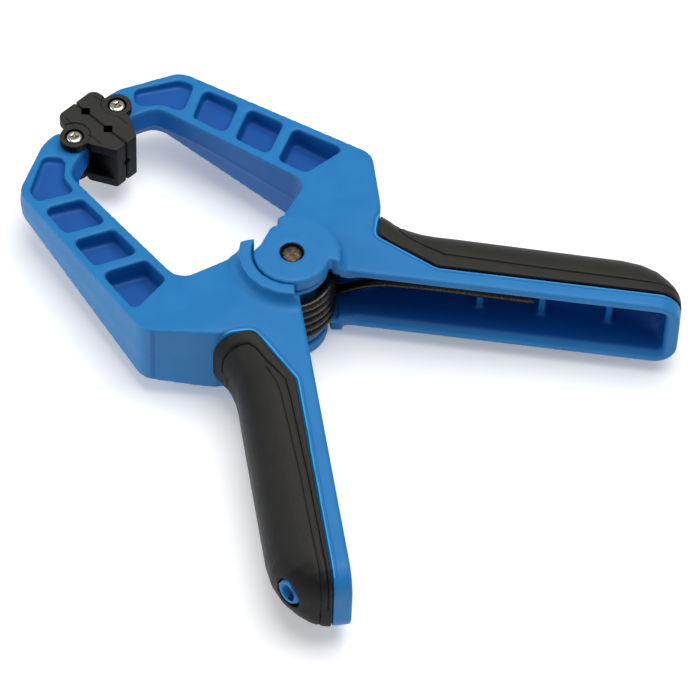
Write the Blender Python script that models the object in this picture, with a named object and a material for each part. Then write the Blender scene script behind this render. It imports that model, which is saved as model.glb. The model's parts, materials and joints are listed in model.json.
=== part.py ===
"""Spring clamp: two identical moulded arms on one rivet, a torsion spring that
holds the jaws shut, soft grips on the handles and swivelling jaw pads.

Frame: X runs from the jaws (-X) to the handles (+X), Z along the rivet, Y across
the clamp. Each arm is designed on the +Y side, about the rivet axis at its middle
height; the front arm is the same moulding turned half a turn about X. The finished
clamp lies on its hub, with the origin under the middle of its outline.
Sizes are in millimetres until the meshes are made.
"""

import math

import bmesh
import bpy
from mathutils import Matrix, Vector

MM = 0.001
ARC_STEP = math.radians(18)
HANDLE_ARC_STEP = math.radians(9)
FLARE_STATIONS = (0.0, 0.15, 0.3, 0.5, 0.75, 1.0)  # shares of the flare's length
END_TURNS = (18, 34, 48, 60, 70, 78)  # degrees round the handle's end at which it is shaped
GAP = 0.3  # play between two pieces that touch
OVERCUT = 8.0  # how far a cutting solid reaches past the surface it cuts
FLIP = Matrix.Rotation(math.pi, 4, "X")

# Jaw arm, seen from above
JAW_REACH = 95.0  # rivet to pad screw, along X
PAD_OFFSET = 10.2  # pad screw to the clamp's middle plane
KNUCKLE = (92.8, 39.2)  # outer corner of the jaw arm: back from the rivet, across
KNUCKLE_ROUND = 8.0
SHOULDER = (15.6, 55.1)  # outer corner beside the hub, which stops the hand
SHOULDER_ROUND = 7.0
THROAT_TIP = (86.5, 21.2)  # corners of the open space between the arms
THROAT_HUB = (22.8, 30.4)
THROAT_FOOT = (15.2, 5.5)  # where the throat meets the hub
# The lug round the pad screw, from the screw: along X, across, radius of the corner
LUG_OUTSIDE = ((-8.7, -0.5, 2.5), (-8.4, 7.5, 12.0))
LUG_THROAT = (5.1, 1.5, 3.0)
LUG_ROUND = 3.6
LUG_HALF = 4.0
LUG_STEP = (-4.2, -0.8, 1.0)
JAW_WALL = 3.3  # rim round the pockets
POCKET_RIBS = 3
POCKET_RIB = 4.3
POCKET_PITCH = 18.2
POCKET_LEAN = 6.6  # how far a rib leans towards the tip, over the arm's width
POCKET_FLOOR = 4.0  # thickness left between opposite pockets
POCKET_ROUND = 2.0
POCKET_START = (3.5, 8.5)  # first pocket, back from the throat's and the shoulder's corners
FIRST_RIB = 13.4  # back from the first pocket's start
# Corners of the last pocket, each from the corner or screw that it follows
TIP_POCKET_KNUCKLE = (2.6, -3.4, 3.0)
TIP_POCKET_END = (-3.6, 11.5, 2.5)
TIP_POCKET_SCREW = (2.4, 6.6, 3.0)
TIP_POCKET_THROAT = (0.5, 2.6, 5.0)

# Thickness of the arm
HANDLE_HEIGHT = 30.0
TIP_HEIGHT = 10.2  # thickness at the pad screw; the jaw arm tapers to it
HUB_PROUD = 5.9  # hub disc and rim above the arm's face

# Hub
HUB_R = 13.1
HUB_SHOULDER_R = 16.4
HUB_FLARE = 2.2  # hollow at the foot of the raised shoulder
HUB_ROOT = 1.0  # how far the disc is sunk into the arm
HUB_CHORD = 11.2  # flat on the jaw side of the hub disc
HUB_CHORD_SLANT = 1.4  # how much nearer to the rivet that flat starts
HUB_CORNER = (13.9, 6.4)  # where the raised shoulder starts on the jaw side
HUB_NECK = (11.9, 7.1)  # its hollow corner on the handle side
HUB_NECK_ROUND = 3.0
HUB_REACH = 40.0  # past all of the hub
HUB_FLAT = 13.1  # flat on its handle side
RIM_GAP = 0.6
RIM_WALL = 4.3
RIM_TIP = 11.0  # degrees over which the rim's free end slopes
RIM_START, RIM_END = 161.0, 42.0  # degrees, ends of the rim round the other arm's disc
EAR_R = 12.7
EAR_THICKNESS = 2.7
BOSS_R = 9.2
RIVET_R = 2.7
RIVET_HEAD_R = 3.45
RIVET_HEAD = 2.2
RIVET_RECESS = 0.9
RIVET_DOME = 0.6
HEAD_CLEARANCE = 0.35

# Spring
WIRE_R = 1.8
COIL_R = 13.5  # to the middle of the wire
COIL_PITCH = 3.7
COIL_TURNS = 5
LEG_EXIT = 20.0  # degrees that a leg leans in as it leaves the coil's outer side
LEG_DEPTH = 8.7  # from the line through the rivet to the middle of the leg
LEG_END = 82.0  # along the handle
# The leg's way to the handle's middle height: along the handle, share of the coil's half height
LEG_RISE = ((9.0, 0.9), (12.0, 0.83), (16.0, 0.72), (21.0, 0.42), (28.0, 0.1), (36.0, 0.0))

# Handle: s runs along it from the rivet, n across it, outwards
HANDLE_ANGLE = 36.87  # degrees, handle to the clamp's middle plane
HANDLE_LENGTH = 131.6
HANDLE_INNER = -0.63
STRIP = 5.6  # bare strip beside the grip
CHANNEL_WALL = 4.6
CHANNEL_END_WALL = 5.0
CHANNEL_DEPTH = 19.0
CHANNEL_SKIN = 2.4  # wall between the channel and the grip
CHANNEL_ROOT = 12.4  # depth beside the hub, where the spring's leg comes in
CHANNEL_START = 24.0
CHANNEL_SLOPE = 10.0  # over which it reaches its full depth
CHANNEL_ROUND = 3.0
RIB_FACE = 10.5
RIB = 2.6
RIBS = (63.4, 84.6, 107.4)

# Soft grip
GRIP_START = 26.5
GRIP_OUTER = 24.6
GRIP_FLARE = 6.1  # how much wider the grip is at its start, against the shoulder
GRIP_FLARE_LENGTH = 20.0
GRIP_ROUND = 12.0  # corner of the grip's section at its start
GRIP_ROUND_END = 14.6
GRIP_SKIN = 2.2
FLAT_LEFT = 0.5  # least flat left beside a corner of the handle's section
GRIP_PROUD = 0.5
CORE_IN = 2.0  # how far inside the handle's inner face its core starts
GRIP_END_ROUND = 17.0  # how far the handle's end is rounded off, across it
GRIP_END_LENGTH = 22.0  # and along it
END_ROUND = 8.5
GRIP_KINK = 48.5  # where the edge of the grip turns towards the shoulder
GRIP_CORNER = 16.5
HANG_AT = (124.6, 20.2, 2.6)  # hanging hole in the handle's end: s, n, z
HANG_R = 2.6
HANG_RING_R = 4.4
HANG_RING_DEPTH = 3.5
HANG_RING_PROUD = 0.6
HANG_THROUGH = 9.0
HANG_TILT = 32.0  # degrees above the clamp's plane
HANG_SLEW = 0.35  # how far the hole leans towards the handle's end

# Jaw pad, about its screw
PAD_HEIGHT = 19.5
PAD_TIP = 10.4  # screw to the outer end of the gripping face
PAD_ROOT = 15.4  # screw to the inner end
PAD_WEB = 4.9
PAD_SLOT = 11.6
PAD_EDGE_ROOT = 4.6  # depth of the flange at its inner end
PAD_ROUND = 0.8
PAD_BACK = 0.8  # screw to the back edge of the flange
PAD_SLOPE = 8.8  # length over which the flange tapers to its inner end
PAD_EAR_R = 5.05
PAD_EAR_DROP = 0.7
PAD_STEP_R = 5.7
NOTCHES = (-5.0, 6.1)
NOTCH = 1.9
V_GROOVE = 1.6

# Pad screw and sleeve nut
SCREW_HEAD_R = 2.8
SCREW_SEAT = 1.6  # depth of the seats for the two heads
SCREW_R = 1.4
SCREW_DOME = 0.45
SCREW_RECESS = (0.9, 3.0)
SCREW_RECESS_DEPTH = 0.8
HEAD_SUNK = 0.1  # of the screw's and sleeve's heads, below the ear
SLEEVE_FLOOR = 1.0  # metal left under the threaded hole, past the head
SLEEVE_R = 2.3
SLEEVE_HEAD_R = 3.0
SLEEVE_HEAD = 1.2

HANDLE_HALF = HANDLE_HEIGHT / 2
HUB_HALF = HANDLE_HALF + HUB_PROUD
HUB_HEIGHT = 2 * HUB_HALF
EAR_TOP = PAD_HEIGHT / 2 - PAD_EAR_DROP
BLUE = (0.013, 0.165, 0.56)
BLACK_RUBBER = (0.045, 0.043, 0.038)
BLACK_PLASTIC = (0.035, 0.035, 0.032)


def clear_scene():
    for obj in list(bpy.data.objects):
        bpy.data.objects.remove(obj)


def material(name, colour, roughness, metallic):
    made = bpy.data.materials.new(name)
    made.use_nodes = True
    shader = made.node_tree.nodes["Principled BSDF"]
    shader.inputs["Base Color"].default_value = (*colour, 1.0)
    shader.inputs["Roughness"].default_value = roughness
    shader.inputs["Metallic"].default_value = metallic
    made.diffuse_color = (*colour, 1.0)
    return made


def arc(cx, cy, radius, start, end, step=ARC_STEP):
    """Points on an arc between two angles in radians, both ends included."""
    steps = max(1, math.ceil(abs(end - start) / step - 1e-6))
    angles = (start + (end - start) * i / steps for i in range(steps + 1))
    return [(cx + radius * math.cos(a), cy + radius * math.sin(a)) for a in angles]


def rounded(corners):
    """The outline through the corners (x, y, radius), each rounded by its radius."""
    points = []
    for i, (x, y, radius) in enumerate(corners):
        here = Vector((x, y))
        before = (Vector(corners[i - 1][:2]) - here).normalized()
        after = (Vector(corners[(i + 1) % len(corners)][:2]) - here).normalized()
        half = before.angle(after) / 2
        if radius < 1e-6 or half > math.pi / 2 - 1e-4:
            points.append((x, y))
            continue
        middle = here + (before + after).normalized() * (radius / math.sin(half))
        first = here + before * (radius / math.tan(half)) - middle
        turn = first.angle_signed(here + after * (radius / math.tan(half)) - middle)
        start = math.atan2(first.y, first.x)
        points += arc(middle.x, middle.y, radius, start, start - turn)
    return points


def solid(name, loops):
    """A closed solid through loops of points (mm), each joined to the next and the ends capped."""
    shape = bmesh.new()
    rings = [[shape.verts.new(Vector(p) * MM) for p in loop] for loop in loops]
    for low, high in zip(rings, rings[1:]):
        for i in range(len(low)):
            j = (i + 1) % len(low)
            shape.faces.new((low[i], low[j], high[j], high[i]))
    shape.faces.new(rings[0][::-1])
    shape.faces.new(rings[-1])
    bmesh.ops.recalc_face_normals(shape, faces=shape.faces)
    mesh = bpy.data.meshes.new(name)
    shape.to_mesh(mesh)
    shape.free()
    made = bpy.data.objects.new(name, mesh)
    bpy.context.collection.objects.link(made)
    return made


def prism(name, outline, low, high):
    return solid(name, [[(x, y, z) for x, y in outline] for z in (low, high)])


def turned(name, profile, middle=(0.0, 0.0)):
    """A solid of revolution about a vertical axis, from (radius, z) points, bottom to top."""
    cx, cy = middle
    loops = []
    for radius, z in profile:
        ring = arc(cx, cy, radius, 0.0, 2 * math.pi - ARC_STEP)
        loops.append([(x, y, z) for x, y in ring])
    return solid(name, loops)


def combine(target, other, operation):
    """Adds, cuts or keeps what is common, and removes the other solid."""
    modifier = target.modifiers.new(operation, "BOOLEAN")
    modifier.object = other
    modifier.operation = operation
    bpy.context.view_layer.update()
    graph = bpy.context.evaluated_depsgraph_get()
    mesh = bpy.data.meshes.new_from_object(target.evaluated_get(graph))
    target.modifiers.clear()
    target.data = mesh
    bpy.data.objects.remove(other)


def cut(target, *others):
    for other in others:
        combine(target, other, "DIFFERENCE")


def add(target, *others):
    for other in others:
        combine(target, other, "UNION")


def along_handle(s, n):
    a = math.radians(HANDLE_ANGLE)
    return s * math.cos(a) - n * math.sin(a), s * math.sin(a) + n * math.cos(a)


def handle_corners(corners):
    return [(*along_handle(s, n), radius) for s, n, radius in corners]


def half_height(x):
    """Half the thickness of the jaw arm, at x."""
    taper = (HANDLE_HEIGHT - TIP_HEIGHT) / 2 / JAW_REACH
    return HANDLE_HALF + taper * min(x, 0.0)


def arm_outline():
    """The arm from above: lug, jaw, shoulder, bare strip of the handle and throat."""
    reach, across = JAW_REACH, PAD_OFFSET
    lug_face = PAD_WEB + GAP / 2 + 2 * GAP
    corners = [(x - reach, across + y, radius) for x, y, radius in LUG_OUTSIDE]
    corners += [
        (-KNUCKLE[0], KNUCKLE[1], KNUCKLE_ROUND),
        (-SHOULDER[0], SHOULDER[1], SHOULDER_ROUND),
    ]
    corners += handle_corners(
        [
            (GRIP_START, GRIP_OUTER + GRIP_FLARE - 1.0, 1.0),
            (GRIP_START, GRIP_CORNER, 3.0),
            (GRIP_KINK, STRIP, 5.0),
            (HANDLE_LENGTH, STRIP, 0.0),
            (HANDLE_LENGTH, HANDLE_INNER, 0.0),
            (1.0, HANDLE_INNER, 0.0),
        ]
    )
    corners += [
        (-HUB_CHORD, THROAT_FOOT[1], 0.0),
        (-THROAT_FOOT[0], THROAT_FOOT[1], 1.0),
        (-THROAT_HUB[0], THROAT_HUB[1], 6.5),
        (-THROAT_TIP[0], THROAT_TIP[1], 7.0),
        (LUG_THROAT[0] - reach, across + LUG_THROAT[1], LUG_THROAT[2]),
        (LUG_HALF - reach, lug_face, LUG_ROUND),
        (-LUG_HALF - reach, lug_face, LUG_ROUND),
        (LUG_STEP[0] - reach, across + LUG_STEP[1], LUG_STEP[2]),
    ]
    return rounded(corners)


def taper_envelope():
    """The arm's thickness seen from the side: tapered to the tip, then level."""
    low_x, high_x = -JAW_REACH - 15, HANDLE_LENGTH
    side = [(low_x, half_height(low_x)), (0.0, HANDLE_HALF), (high_x, HANDLE_HALF)]
    side += [(x, -z) for x, z in reversed(side)]
    return solid("envelope", [[(x, y, z) for x, z in side] for y in (-30.0, 110.0)])


def line_y(a, b, x):
    return a[1] + (b[1] - a[1]) * (x - a[0]) / (b[0] - a[0])


def pocket_outlines():
    """The four pockets between the outer edge and the throat, divided by leaning ribs."""
    outer = (-KNUCKLE[0], KNUCKLE[1] - JAW_WALL), (-SHOULDER[0], SHOULDER[1] - JAW_WALL)
    inner = (
        (-THROAT_TIP[0], THROAT_TIP[1] + JAW_WALL),
        (-THROAT_HUB[0], THROAT_HUB[1] + JAW_WALL),
    )
    hub_in = -THROAT_HUB[0] - POCKET_START[0]
    hub_out = -SHOULDER[0] - POCKET_START[1]
    ribs = [hub_in - FIRST_RIB - POCKET_PITCH * i for i in range(POCKET_RIBS)]
    near = [(hub_in, hub_out)]
    for x in ribs:
        near.append((x - POCKET_RIB / 2, x - POCKET_RIB / 2 - POCKET_LEAN))
    far = [(x + POCKET_RIB / 2, x + POCKET_RIB / 2 - POCKET_LEAN) for x in ribs]
    outlines = []
    for (a, b), (c, d) in zip(near, far):
        outlines.append(
            rounded(
                [
                    (a, line_y(*inner, a), POCKET_ROUND),
                    (b, line_y(*outer, b), POCKET_ROUND),
                    (d, line_y(*outer, d), POCKET_ROUND),
                    (c, line_y(*inner, c), POCKET_ROUND),
                ]
            )
        )
    a, b = near[-1]
    last = [(a, line_y(*inner, a), POCKET_ROUND), (b, line_y(*outer, b), POCKET_ROUND)]
    screw = (JAW_REACH, PAD_OFFSET)
    for (back, across), (x, y, radius) in (
        (KNUCKLE, TIP_POCKET_KNUCKLE),
        (screw, TIP_POCKET_END),
        (screw, TIP_POCKET_SCREW),
        (THROAT_TIP, TIP_POCKET_THROAT),
    ):
        last.append((x - back, across + y, radius))
    outlines.append(rounded(last))
    return outlines


def end_drop(s, end, length, depth):
    """How far a rounded end has fallen off at s: nothing up to its length, then all its depth."""
    past = min(1.0, max(0.0, 1 - (end - s) / length))
    return depth * (1 - math.sqrt(1 - past**2))


def handle_section(s, inset, inner):
    """The closed outline of the rounded handle at s, moved inwards by an inset."""
    end = HANDLE_LENGTH - inset
    half = HANDLE_HALF + GRIP_PROUD - inset
    flared = min(1.0, max(0.0, 1 - (s - GRIP_START) / GRIP_FLARE_LENGTH))
    widest = GRIP_OUTER - inset + GRIP_FLARE * flared**2
    widest -= end_drop(s, end, GRIP_END_LENGTH - inset, GRIP_END_ROUND - inset)
    half -= end_drop(s, end, END_ROUND - inset, END_ROUND - inset)
    share = min(1.0, max(0.0, (s - GRIP_START) / (HANDLE_LENGTH - GRIP_START)))
    corner = GRIP_ROUND + (GRIP_ROUND_END - GRIP_ROUND) * share - inset
    radius = min(corner, half - FLAT_LEFT, widest - inner - FLAT_LEFT)
    cap = arc(widest - radius, half - radius, radius, math.pi / 2, 0.0, HANDLE_ARC_STEP)
    ring = [(inner, half), *cap]
    ring += [(n, -z) for n, z in reversed(ring)]
    return [(*along_handle(s, n), z) for n, z in ring]


def handle_stations(start, inset):
    """Stations along the handle, close together where its end is rounded."""
    end, length = HANDLE_LENGTH - inset, GRIP_END_LENGTH - inset
    turns = [math.radians(a) for a in END_TURNS]
    begin = end - length
    rounding = [begin + length * math.sin(a) for a in turns]
    flare = [GRIP_START + GRIP_FLARE_LENGTH * share for share in FLARE_STATIONS]
    flare = [s for s in flare if s > start + 0.01]
    return [start, *flare, begin, *rounding, end - 0.01]


def rounded_handle(name, start, inset, inner):
    stations = handle_stations(start, inset)
    return solid(name, [handle_section(s, inset, inner) for s in stations])


def end_rounding():
    """Trims the corners of the bare strip at the handle's end, seen from the side."""
    end, half, radius = HANDLE_LENGTH, HANDLE_HALF, END_ROUND
    solids = []
    for side in (1, -1):
        corner = arc(end - radius, half - radius, radius, math.pi / 2, 0.0)
        edge = [*corner, (end + 3, half - radius), (end + 3, half + 3), (end - radius, half + 3)]
        loops = [
            [(*along_handle(s, n), side * z) for s, z in edge]
            for n in (HANDLE_INNER - 5, STRIP + 5)
        ]
        solids.append(solid("end_trim", loops))
    return solids


def channel():
    """The hollow of the handle, open to the other handle, with cross ribs in it."""
    end, mouth = HANDLE_LENGTH - CHANNEL_END_WALL, HANDLE_INNER - OVERCUT
    comb = [(-RIVET_R, mouth, 0.0), (end, mouth, 0.0)]
    bay_end = end
    for s in reversed(RIBS):
        comb += [(bay_end, CHANNEL_DEPTH, 1.0)]
        comb += [(s + RIB / 2, CHANNEL_DEPTH, 1.0), (s + RIB / 2, RIB_FACE, 0.0)]
        comb += [(s - RIB / 2, RIB_FACE, 0.0)]
        bay_end = s - RIB / 2
    full_depth = CHANNEL_START + CHANNEL_SLOPE
    comb += [(bay_end, CHANNEL_DEPTH, 1.0), (full_depth, CHANNEL_DEPTH, CHANNEL_ROUND)]
    comb += [(CHANNEL_START, CHANNEL_ROOT, CHANNEL_ROUND), (-RIVET_R, CHANNEL_ROOT, 0.0)]
    half = HANDLE_HALF - CHANNEL_WALL
    hollow = prism("channel", rounded(handle_corners(comb)), -half, half)
    inset = GRIP_SKIN + CHANNEL_SKIN
    combine(hollow, rounded_handle("hollow", -OVERCUT, inset, mouth - 1.0), "INTERSECT")
    return hollow


def hub_disc():
    """The outer disc over the other arm's ear, with its flat and its raised shoulder."""
    low = HANDLE_HALF - HUB_ROOT
    disc = prism("hub_disc", arc(0, 0, HUB_R, 0.0, 2 * math.pi - ARC_STEP), low, HUB_HALF)
    far = 2 * HUB_R
    beyond = [(HUB_FLAT, -far), (far, -far), (far, far), (HUB_FLAT, far)]
    cut(disc, prism("handle_flat", beyond, 0.0, HUB_HEIGHT))
    profile = [
        (HUB_SHOULDER_R + HUB_FLARE, HANDLE_HALF - 2 * HUB_ROOT),
        (HUB_SHOULDER_R + HUB_FLARE, HANDLE_HALF + 0.2),
        (HUB_SHOULDER_R + HUB_FLARE / 4, HANDLE_HALF + 0.75 * HUB_FLARE),
        (HUB_SHOULDER_R, HUB_HALF),
    ]
    raised = turned("raised", profile)
    own_side = [
        (-HUB_CORNER[0], HUB_CORNER[1], 0.0),
        (-HUB_CORNER[0], HUB_REACH, 0.0),
        (HUB_REACH, HUB_REACH, 0.0),
        (HUB_REACH, HUB_REACH * math.tan(math.radians(HANDLE_ANGLE)), 0.0),
        (*HUB_NECK, HUB_NECK_ROUND),
        (HUB_R / 3, HUB_CORNER[1], 0.0),
    ]
    combine(raised, prism("own_side", rounded(own_side), 0.0, HUB_HEIGHT), "INTERSECT")
    add(disc, raised)
    chord = HUB_CHORD - HUB_CHORD_SLANT
    flat = [(-HUB_REACH, -HUB_REACH), (-chord, -HUB_REACH), (-chord, -THROAT_FOOT[1])]
    flat += [(-HUB_CORNER[0] - GAP, HUB_CORNER[1]), (-HUB_REACH, HUB_CORNER[1])]
    cut(disc, prism("chord", flat, 0.0, HUB_HEIGHT))
    return disc


def hub_room():
    """Room for the spring, and above it for the other arm's ear under the disc."""
    room = COIL_R + WIRE_R + 1.1
    ear = HANDLE_HALF - EAR_THICKNESS - GAP
    under_disc = HUB_R + RIM_GAP
    profile = [(room, -ear), (room, ear), (under_disc, ear + 0.01)]
    return turned("hub_room", [*profile, (under_disc, HANDLE_HALF + GAP)])


def rim():
    """The raised rim on the other face, which runs round the other arm's disc."""
    low, high = HANDLE_HALF - 1.5, HUB_HALF
    inner, outer = HUB_R + RIM_GAP, HUB_R + RIM_GAP + RIM_WALL
    start, end = math.radians(RIM_START), math.radians(RIM_END)
    tip = math.radians(RIM_START - RIM_TIP)
    band = arc(0, 0, outer, tip, end) + arc(0, 0, inner, end, start)
    return prism("rim", band, -high, -low)


def hang_cylinder(name, radius, low, high):
    """A cylinder square to the handle's rounded end, from low to high along its axis."""
    s, n, z = HANG_AT
    x, y = along_handle(s, n)
    across = Vector((*along_handle(HANG_SLEW, 1.0), 0.0)).normalized()
    tilt = math.radians(HANG_TILT)
    axis = across * math.cos(tilt) - Vector((0, 0, 1)) * math.sin(tilt)
    made = turned(name, [(radius, low), (radius, high)])
    turn = axis.to_track_quat("Z", "Y").to_matrix().to_4x4()
    made.data.transform(Matrix.Translation(Vector((x, y, -z)) * MM) @ turn)
    return made


def arm_mesh(finish):
    """One moulded arm, jaw, hub and handle in one piece."""
    arm = prism("arm", arm_outline(), -HANDLE_HALF - 5, HANDLE_HALF + 5)
    combine(arm, taper_envelope(), "INTERSECT")
    cut(arm, *end_rounding())
    core_from = HANDLE_INNER + CORE_IN
    add(arm, rounded_handle("core", GRIP_START - OVERCUT, GRIP_SKIN, core_from))
    for outline in pocket_outlines():
        for side in (1, -1):
            floor = side * POCKET_FLOOR / 2
            cut(arm, prism("pocket", outline, *sorted((floor, side * HUB_HALF))))
    add(arm, rim(), hub_disc())
    cut(arm, hub_room(), channel())
    ear = turned(
        "ear", [(EAR_R, -HANDLE_HALF), (EAR_R, EAR_THICKNESS - HANDLE_HALF)]
    )
    boss = turned("boss", [(BOSS_R, -HANDLE_HALF + 0.5), (BOSS_R, -GAP)])
    add(arm, ear_bridge(), ear, boss)
    hole = RIVET_R + GAP
    counter = RIVET_HEAD_R + HEAD_CLEARANCE
    seat = HUB_HALF - RIVET_RECESS - RIVET_HEAD - GAP
    cut(arm, turned("rivet_hole", [(hole, -HUB_HALF - 1), (hole, HUB_HALF + 1)]))
    cut(arm, turned("rivet_seat", [(counter, seat), (counter, HUB_HALF + 1)]))
    bore = [(SLEEVE_R + GAP, -TIP_HEIGHT), (SLEEVE_R + GAP, TIP_HEIGHT)]
    cut(arm, turned("screw_bore", bore, (-JAW_REACH, PAD_OFFSET)))
    ring = hang_cylinder("hang_ring", HANG_RING_R, -HANG_RING_DEPTH, HANG_RING_PROUD)
    envelope = rounded_handle("trim", GRIP_START, 0.0, core_from)
    combine(ring, envelope, "INTERSECT")
    add(arm, ring)
    cut(arm, hang_cylinder("hang_hole", HANG_R, -HANG_THROUGH, HANG_THROUGH))
    arm.data.materials.append(finish)
    mesh = arm.data
    bpy.data.objects.remove(arm)
    return mesh


def ear_bridge():
    """Carries the ear from the arm across the edge of the room for the spring."""
    edge = COIL_R + WIRE_R + 2.0
    start, end = math.radians(HANDLE_ANGLE + 3), math.radians(150)
    web = [(0.0, 1.0), *arc(0, 0, edge, start, end)]
    return prism("ear_bridge", web, -HANDLE_HALF, EAR_THICKNESS - HANDLE_HALF)


def grip_mesh(finish):
    """The soft grip: a skin over the outside of the handle, up to the bare strip."""
    edge = STRIP + GAP
    corners = [
        (GRIP_START + GAP, 50.0, 0.0),
        (GRIP_START + GAP, GRIP_CORNER + 0.2, 3.0),
        (GRIP_KINK + 0.2, edge, 5.0),
        (HANDLE_LENGTH + 5, edge, 0.0),
        (HANDLE_LENGTH + 5, 50.0, 0.0),
    ]
    grip = prism("grip", rounded(handle_corners(corners)), -HUB_HALF, HUB_HALF)
    envelope = rounded_handle("outside", GRIP_START - 4, 0.0, STRIP - 2.0)
    combine(grip, envelope, "INTERSECT")
    inside = GRIP_SKIN - GAP
    cut(grip, rounded_handle("inside", GRIP_START - OVERCUT - 1.0, inside, HANDLE_INNER + CORE_IN))
    cut(grip, hang_cylinder("ring_hole", HANG_RING_R + GAP, -HANG_THROUGH, HANG_THROUGH))
    grip.data.materials.append(finish)
    mesh = grip.data
    bpy.data.objects.remove(grip)
    return mesh


def pad_mesh(finish):
    """A jaw pad about its screw: gripping web, two flanges and their ears."""
    face = GAP / 2 - PAD_OFFSET
    half = PAD_HEIGHT / 2
    corners = [
        (-PAD_TIP, face, PAD_ROUND),
        (PAD_ROOT, face, PAD_ROUND),
        (PAD_ROOT, face + PAD_EDGE_ROOT, PAD_ROUND),
        (PAD_ROOT - PAD_SLOPE, -PAD_BACK, 2.0),
        (GAP - PAD_STEP_R, -PAD_BACK, 0.0),
        (-PAD_TIP, -2 * PAD_BACK, 3.0),
    ]
    pad = prism("pad", rounded(corners), -half, half)
    for side in (1, -1):
        low, high = sorted((side * EAR_TOP, side * (half + 1)))
        cut(pad, turned("step", [(PAD_STEP_R, low), (PAD_STEP_R, high)]))
    add(pad, turned("ears", [(PAD_EAR_R, -EAR_TOP), (PAD_EAR_R, EAR_TOP)]))
    back = face + PAD_WEB
    slot = [(-30.0, back), (30.0, back), (30.0, 30.0), (-30.0, 30.0)]
    cut(pad, prism("slot", slot, -PAD_SLOT / 2, PAD_SLOT / 2))
    for u in NOTCHES:
        notch = [(u - NOTCH - 0.5, face - 0.5), (u + NOTCH + 0.5, face - 0.5), (u, face + NOTCH)]
        cut(pad, prism("notch", notch, -half - 1, half + 1))
    groove = [(face - 0.5, -V_GROOVE - 0.5), (face - 0.5, V_GROOVE + 0.5), (face + V_GROOVE, 0.0)]
    cut(pad, solid("groove", [[(x, v, z) for v, z in groove] for x in (-30.0, 30.0)]))
    cut(pad, turned("hole", [(SLEEVE_R + GAP, -half - 1), (SLEEVE_R + GAP, half + 1)]))
    for side in (1, -1):
        low, high = sorted((side * (EAR_TOP - SCREW_SEAT), side * (half + 1)))
        cut(pad, turned("seat", [(SLEEVE_HEAD_R + GAP, low), (SLEEVE_HEAD_R + GAP, high)]))
    pad.data.materials.append(finish)
    mesh = pad.data
    bpy.data.objects.remove(pad)
    return mesh


def screw_mesh(finish):
    """A cross-recess screw, head up, about its own axis."""
    top = EAR_TOP - HEAD_SUNK
    low = EAR_TOP - SCREW_SEAT + GAP
    reach = SLEEVE_HEAD + SLEEVE_FLOOR - top
    profile = [
        (SCREW_R, reach),
        (SCREW_R, low),
        (SCREW_HEAD_R, low),
        (SCREW_HEAD_R, top - SCREW_DOME),
        (SCREW_HEAD_R - SCREW_DOME, top),
    ]
    screw = turned("screw", profile)
    for wide, long in (SCREW_RECESS, SCREW_RECESS[::-1]):
        x, y = wide / 2, long / 2
        slot = [(-x, -y), (x, -y), (x, y), (-x, y)]
        cut(screw, prism("recess", slot, top - SCREW_RECESS_DEPTH, top + 1))
    screw.data.materials.append(finish)
    mesh = screw.data
    bpy.data.objects.remove(screw)
    return mesh


def sleeve_mesh(finish):
    """The sleeve nut that the pad turns on: a barrel with a flat head, threaded from the top."""
    bottom = HEAD_SUNK - EAR_TOP
    profile = [
        (SLEEVE_HEAD_R, bottom),
        (SLEEVE_HEAD_R, SCREW_SEAT - EAR_TOP - GAP),
        (SLEEVE_R, SCREW_SEAT - EAR_TOP - GAP),
        (SLEEVE_R, EAR_TOP - SCREW_SEAT),
    ]
    sleeve = turned("sleeve", profile)
    thread = SCREW_R + GAP
    hole = [(thread, SLEEVE_HEAD + SLEEVE_FLOOR - EAR_TOP - GAP), (thread, PAD_HEIGHT)]
    cut(sleeve, turned("thread_hole", hole))
    sleeve.data.materials.append(finish)
    mesh = sleeve.data
    bpy.data.objects.remove(sleeve)
    return mesh


def rivet_mesh(finish):
    """The pivot rivet: a shank through both arms and a domed head in each counterbore."""
    end = HUB_HALF - RIVET_RECESS
    seat = end - RIVET_HEAD
    upper = [(RIVET_R, seat), (RIVET_HEAD_R, seat), (RIVET_HEAD_R, end - RIVET_DOME)]
    upper += [(RIVET_HEAD_R - RIVET_DOME, end)]
    profile = [(r, -z) for r, z in reversed(upper)] + upper
    rivet = turned("rivet", profile)
    rivet.data.materials.append(finish)
    mesh = rivet.data
    bpy.data.objects.remove(rivet)
    return mesh


def spring_path():
    """The wire's centre line: up the rear leg's way in, round the coil and out along the front leg."""
    leave = math.radians(LEG_EXIT)
    start = math.radians(HANDLE_ANGLE) + math.pi / 2 - leave
    sweep = 2 * math.pi * (COIL_TURNS + 1) - 2 * start
    top = COIL_PITCH * sweep / (4 * math.pi)
    steps = round(sweep / ARC_STEP)
    coil = []
    for i in range(steps + 1):
        a = start + sweep * i / steps
        z = -top + 2 * top * i / steps
        coil.append(Vector((COIL_R * math.cos(a), COIL_R * math.sin(a), z)))
    first_s, first_n = COIL_R * math.sin(leave), COIL_R * math.cos(leave)
    leg = []
    for s, share in LEG_RISE:
        n = max(first_n - (s - first_s) * math.tan(leave), LEG_DEPTH)
        leg.append(Vector((*along_handle(s, n), -top * share)))
    leg.append(Vector((*along_handle(LEG_END, LEG_DEPTH), 0.0)))
    return leg[::-1] + coil + [FLIP @ point for point in leg]


def spring_object(finish):
    curve = bpy.data.curves.new("torsion_spring", "CURVE")
    curve.dimensions = "3D"
    curve.bevel_depth = WIRE_R * MM
    curve.bevel_resolution = 2
    curve.use_fill_caps = True
    points = spring_path()
    line = curve.splines.new("POLY")
    line.points.add(len(points) - 1)
    for spot, point in zip(line.points, points):
        spot.co = (*(point * MM), 1.0)
    curve.materials.append(finish)
    spring = bpy.data.objects.new("torsion_spring", curve)
    bpy.context.collection.objects.link(spring)
    return spring


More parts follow.
